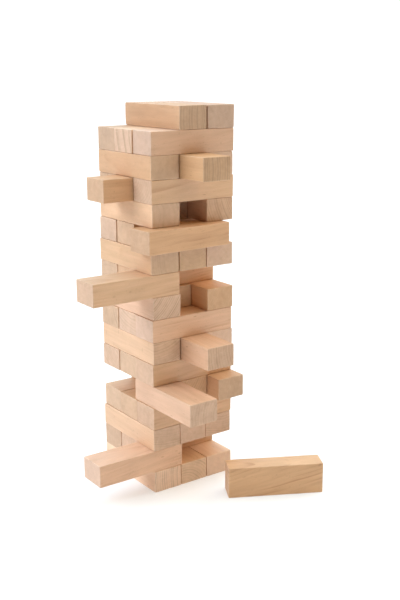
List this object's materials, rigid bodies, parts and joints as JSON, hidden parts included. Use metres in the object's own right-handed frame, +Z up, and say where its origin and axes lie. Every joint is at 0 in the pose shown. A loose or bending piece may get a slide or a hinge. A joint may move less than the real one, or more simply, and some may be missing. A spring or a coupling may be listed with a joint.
{
  "type": "giant tumbling tower",
  "caption": "Giant garden tumbling tower of loose hardwood blocks stacked in crossed levels, part-way through a game, with one block taken out and stood on the ground.",
  "frame": {"origin": "middle of the tower's square footprint, on the ground", "axes": "+Z up; +X to the right along the front face, which level 1's blocks meet end on; +Y from the front to the back"},
  "size_m": [0.3974, 0.4234, 0.714],
  "materials": {
    "beech_pale": "fine-sanded beech, unvarnished, with eased edges",
    "beech_pink": "fine-sanded beech, unvarnished, with eased edges",
    "beech_golden": "fine-sanded beech, unvarnished, with eased edges",
    "beech_warm": "fine-sanded beech, unvarnished, with eased edges"
  },
  "bodies": {
    "level_01_left": {"level_01_left": "beech_pale"},
    "level_01_middle": {"level_01_middle": "beech_golden"},
    "level_01_right": {"level_01_right": "beech_pale"},
    "level_02_front": {"level_02_front": "beech_pink"},
    "level_02_middle": {"level_02_middle": "beech_pale"},
    "level_02_back": {"level_02_back": "beech_warm"},
    "level_03_left": {"level_03_left": "beech_pale"},
    "level_03_middle": {"level_03_middle": "beech_pink"},
    "level_03_right": {"level_03_right": "beech_pink"},
    "level_04_front": {"level_04_front": "beech_pale"},
    "level_04_middle": {"level_04_middle": "beech_golden"},
    "level_04_back": {"level_04_back": "beech_golden"},
    "level_05_left": {"level_05_left": "beech_pink"},
    "level_05_middle": {"level_05_middle": "beech_golden"},
    "level_05_right": {"level_05_right": "beech_warm"},
    "level_06_front": {"level_06_front": "beech_pale"},
    "level_06_middle": {"level_06_middle": "beech_golden"},
    "level_06_back": {"level_06_back": "beech_pale"},
    "level_07_left": {"level_07_left": "beech_pale"},
    "level_07_middle": {"level_07_middle": "beech_pink"},
    "level_07_right": {"level_07_right": "beech_pink"},
    "level_08_front": {"level_08_front": "beech_pink"},
    "level_08_middle": {"level_08_middle": "beech_pale"},
    "level_08_back": {"level_08_back": "beech_golden"},
    "level_09_left": {"level_09_left": "beech_pink"},
    "level_09_middle": {"level_09_middle": "beech_golden"},
    "level_09_right": {"level_09_right": "beech_warm"},
    "level_10_front": {"level_10_front": "beech_pale"},
    "level_10_middle": {"level_10_middle": "beech_warm"},
    "level_10_back": {"level_10_back": "beech_golden"},
    "level_11_left": {"level_11_left": "beech_golden"},
    "level_11_middle": {"level_11_middle": "beech_golden"},
    "level_11_right": {"level_11_right": "beech_pink"},
    "level_12_front": {"level_12_front": "beech_warm"},
    "level_12_middle": {"level_12_middle": "beech_golden"},
    "level_12_back": {"level_12_back": "beech_pale"},
    "level_13_left": {"level_13_left": "beech_pale"},
    "level_13_middle": {"level_13_middle": "beech_warm"},
    "level_13_right": {"level_13_right": "beech_pink"},
    "level_14_front": {"level_14_front": "beech_pale"},
    "level_14_middle": {"level_14_middle": "beech_warm"},
    "level_14_back": {"level_14_back": "beech_golden"},
    "level_15_left": {"level_15_left": "beech_warm"},
    "level_15_middle": {"level_15_middle": "beech_golden"},
    "level_15_right": {"level_15_right": "beech_pink"},
    "level_16_front": {"level_16_front": "beech_pink"},
    "level_16_middle": {"level_16_middle": "beech_pale"},
    "level_16_back": {"level_16_back": "beech_warm"},
    "level_17_middle": {"level_17_middle": "beech_warm"},
    "level_17_right": {"level_17_right": "beech_pink"},
    "ground_block": {"ground_block": "beech_golden"}
  },
  "joints": [
    {"name": "level_02_front_slide", "type": "slide", "parent": "level_01_middle", "child": "level_02_front", "axis": [1, 0, 0], "range_m": [-0.069, 0.303]},
    {"name": "level_05_left_slide", "type": "slide", "parent": "level_01_middle", "child": "level_05_left", "axis": [0, 1, 0], "range_m": [-0.0731, 0.2989]},
    {"name": "level_05_right_slide", "type": "slide", "parent": "level_01_middle", "child": "level_05_right", "axis": [0, 1, 0], "range_m": [-0.15, 0.222]},
    {"name": "level_07_middle_slide", "type": "slide", "parent": "level_01_middle", "child": "level_07_middle", "axis": [0, 1, 0], "range_m": [-0.1032, 0.2688]},
    {"name": "level_09_middle_slide", "type": "slide", "parent": "level_01_middle", "child": "level_09_middle", "axis": [0, 1, 0], "range_m": [-0.2369, 0.1351]},
    {"name": "level_10_front_slide", "type": "slide", "parent": "level_01_middle", "child": "level_10_front", "axis": [1, 0, 0], "range_m": [-0.0654, 0.3066]},
    {"name": "level_12_front_slide", "type": "slide", "parent": "level_01_middle", "child": "level_12_front", "axis": [0.9992, 0.0401, 0], "range_m": [-0.1626, 0.2094]},
    {"name": "level_13_middle_slide", "type": "slide", "parent": "level_01_middle", "child": "level_13_middle", "axis": [0, 1, 0], "range_m": [-0.2472, 0.1248]},
    {"name": "level_14_middle_slide", "type": "slide", "parent": "level_01_middle", "child": "level_14_middle", "axis": [1, 0, 0], "range_m": [-0.1253, 0.2467]},
    {"name": "level_15_middle_slide", "type": "slide", "parent": "level_01_middle", "child": "level_15_middle", "axis": [0, 1, 0], "range_m": [-0.1158, 0.2562]},
    {"name": "level_02_back_slide", "type": "slide", "parent": "level_01_middle", "child": "level_02_back", "axis": [1, 0, 0], "range_m": [-0.1856, 0.1864]},
    {"name": "level_03_left_slide", "type": "slide", "parent": "level_01_middle", "child": "level_03_left", "axis": [0, 1, 0], "range_m": [-0.1856, 0.1864]},
    {"name": "level_03_right_slide", "type": "slide", "parent": "level_01_middle", "child": "level_03_right", "axis": [0, 1, 0], "range_m": [-0.1864, 0.1856]},
    {"name": "level_04_middle_slide", "type": "slide", "parent": "level_01_middle", "child": "level_04_middle", "axis": [1, 0, 0], "range_m": [-0.1856, 0.1864]},
    {"name": "level_06_middle_slide", "type": "slide", "parent": "level_01_middle", "child": "level_06_middle", "axis": [1, 0, 0], "range_m": [-0.1864, 0.1856]},
    {"name": "level_08_front_slide", "type": "slide", "parent": "level_01_middle", "child": "level_08_front", "axis": [1, 0, 0], "range_m": [-0.1856, 0.1864]},
    {"name": "level_08_back_slide", "type": "slide", "parent": "level_01_middle", "child": "level_08_back", "axis": [1, 0, 0], "range_m": [-0.1856, 0.1864]},
    {"name": "level_10_back_slide", "type": "slide", "parent": "level_01_middle", "child": "level_10_back", "axis": [1, 0, 0], "range_m": [-0.1856, 0.1864]},
    {"name": "level_11_middle_slide", "type": "slide", "parent": "level_01_middle", "child": "level_11_middle", "axis": [0, 1, 0], "range_m": [-0.186, 0.186]},
    {"name": "level_12_back_slide", "type": "slide", "parent": "level_01_middle", "child": "level_12_back", "axis": [1, 0, 0], "range_m": [-0.1856, 0.1864]},
    {"name": "level_16_middle_slide", "type": "slide", "parent": "level_01_middle", "child": "level_16_middle", "axis": [1, 0, 0], "range_m": [-0.1856, 0.1864]},
    {"name": "level_17_middle_lift", "type": "slide", "parent": "level_01_middle", "child": "level_17_middle", "axis": [0, 0, 1], "range_m": [0, 0.06]},
    {"name": "level_17_right_lift", "type": "slide", "parent": "level_01_middle", "child": "level_17_right", "axis": [0, 0, 1], "range_m": [0, 0.06]},
    {"name": "ground_block_lift", "type": "slide", "parent": "level_01_middle", "child": "ground_block", "axis": [0, 0, 1], "range_m": [0, 0.15]},
    {"name": "level_01_left_slide", "type": "slide", "parent": "level_01_middle", "child": "level_01_left", "axis": [0, 1, 0], "range_m": [-0.0146, 0.0154]},
    {"name": "level_01_right_slide", "type": "slide", "parent": "level_01_middle", "child": "level_01_right", "axis": [0, 1, 0], "range_m": [-0.015, 0.015]},
    {"name": "level_02_middle_slide", "type": "slide", "parent": "level_01_middle", "child": "level_02_middle", "axis": [1, 0, 0], "range_m": [-0.015, 0.015]},
    {"name": "level_03_middle_slide", "type": "slide", "parent": "level_01_middle", "child": "level_03_middle", "axis": [0, 1, 0], "range_m": [-0.015, 0.015]},
    {"name": "level_04_front_slide", "type": "slide", "parent": "level_01_middle", "child": "level_04_front", "axis": [1, 0, 0], "range_m": [-0.0141, 0.0159]},
    {"name": "level_04_back_slide", "type": "slide", "parent": "level_01_middle", "child": "level_04_back", "axis": [1, 0, 0], "range_m": [-0.0154, 0.0146]},
    {"name": "level_05_middle_slide", "type": "slide", "parent": "level_01_middle", "child": "level_05_middle", "axis": [0, 1, 0], "range_m": [-0.015, 0.015]},
    {"name": "level_06_front_slide", "type": "slide", "parent": "level_01_middle", "child": "level_06_front", "axis": [1, 0, 0], "range_m": [-0.0146, 0.0154]},
    {"name": "level_06_back_slide", "type": "slide", "parent": "level_01_middle", "child": "level_06_back", "axis": [1, 0, 0], "range_m": [-0.0146, 0.0154]},
    {"name": "level_07_left_slide", "type": "slide", "parent": "level_01_middle", "child": "level_07_left", "axis": [0, 1, 0], "range_m": [-0.0154, 0.0146]},
    {"name": "level_07_right_slide", "type": "slide", "parent": "level_01_middle", "child": "level_07_right", "axis": [0, 1, 0], "range_m": [-0.0146, 0.0154]},
    {"name": "level_08_middle_slide", "type": "slide", "parent": "level_01_middle", "child": "level_08_middle", "axis": [1, 0, 0], "range_m": [-0.0154, 0.0146]},
    {"name": "level_09_left_slide", "type": "slide", "parent": "level_01_middle", "child": "level_09_left", "axis": [0, 1, 0], "range_m": [-0.015, 0.015]},
    {"name": "level_09_right_slide", "type": "slide", "parent": "level_01_middle", "child": "level_09_right", "axis": [0, 1, 0], "range_m": [-0.0146, 0.0154]},
    {"name": "level_10_middle_slide", "type": "slide", "parent": "level_01_middle", "child": "level_10_middle", "axis": [1, 0, 0], "range_m": [-0.0154, 0.0146]},
    {"name": "level_11_left_slide", "type": "slide", "parent": "level_01_middle", "child": "level_11_left", "axis": [0, 1, 0], "range_m": [-0.0154, 0.0146]},
    {"name": "level_11_right_slide", "type": "slide", "parent": "level_01_middle", "child": "level_11_right", "axis": [0, 1, 0], "range_m": [-0.0146, 0.0154]},
    {"name": "level_12_middle_slide", "type": "slide", "parent": "level_01_middle", "child": "level_12_middle", "axis": [1, 0, 0], "range_m": [-0.0154, 0.0146]},
    {"name": "level_13_left_slide", "type": "slide", "parent": "level_01_middle", "child": "level_13_left", "axis": [0, 1, 0], "range_m": [-0.0146, 0.0154]},
    {"name": "level_13_right_slide", "type": "slide", "parent": "level_01_middle", "child": "level_13_right", "axis": [0, 1, 0], "range_m": [-0.0154, 0.0146]},
    {"name": "level_14_front_slide", "type": "slide", "parent": "level_01_middle", "child": "level_14_front", "axis": [1, 0, 0], "range_m": [-0.015, 0.015]},
    {"name": "level_14_back_slide", "type": "slide", "parent": "level_01_middle", "child": "level_14_back", "axis": [1, 0, 0], "range_m": [-0.0159, 0.0141]},
    {"name": "level_15_left_slide", "type": "slide", "parent": "level_01_middle", "child": "level_15_left", "axis": [0, 1, 0], "range_m": [-0.0146, 0.0154]},
    {"name": "level_15_right_slide", "type": "slide", "parent": "level_01_middle", "child": "level_15_right", "axis": [0, 1, 0], "range_m": [-0.0154, 0.0146]},
    {"name": "level_16_front_slide", "type": "slide", "parent": "level_01_middle", "child": "level_16_front", "axis": [1, 0, 0], "range_m": [-0.0159, 0.0141]},
    {"name": "level_16_back_slide", "type": "slide", "parent": "level_01_middle", "child": "level_16_back", "axis": [1, 0, 0], "range_m": [-0.015, 0.015]}
  ]
}
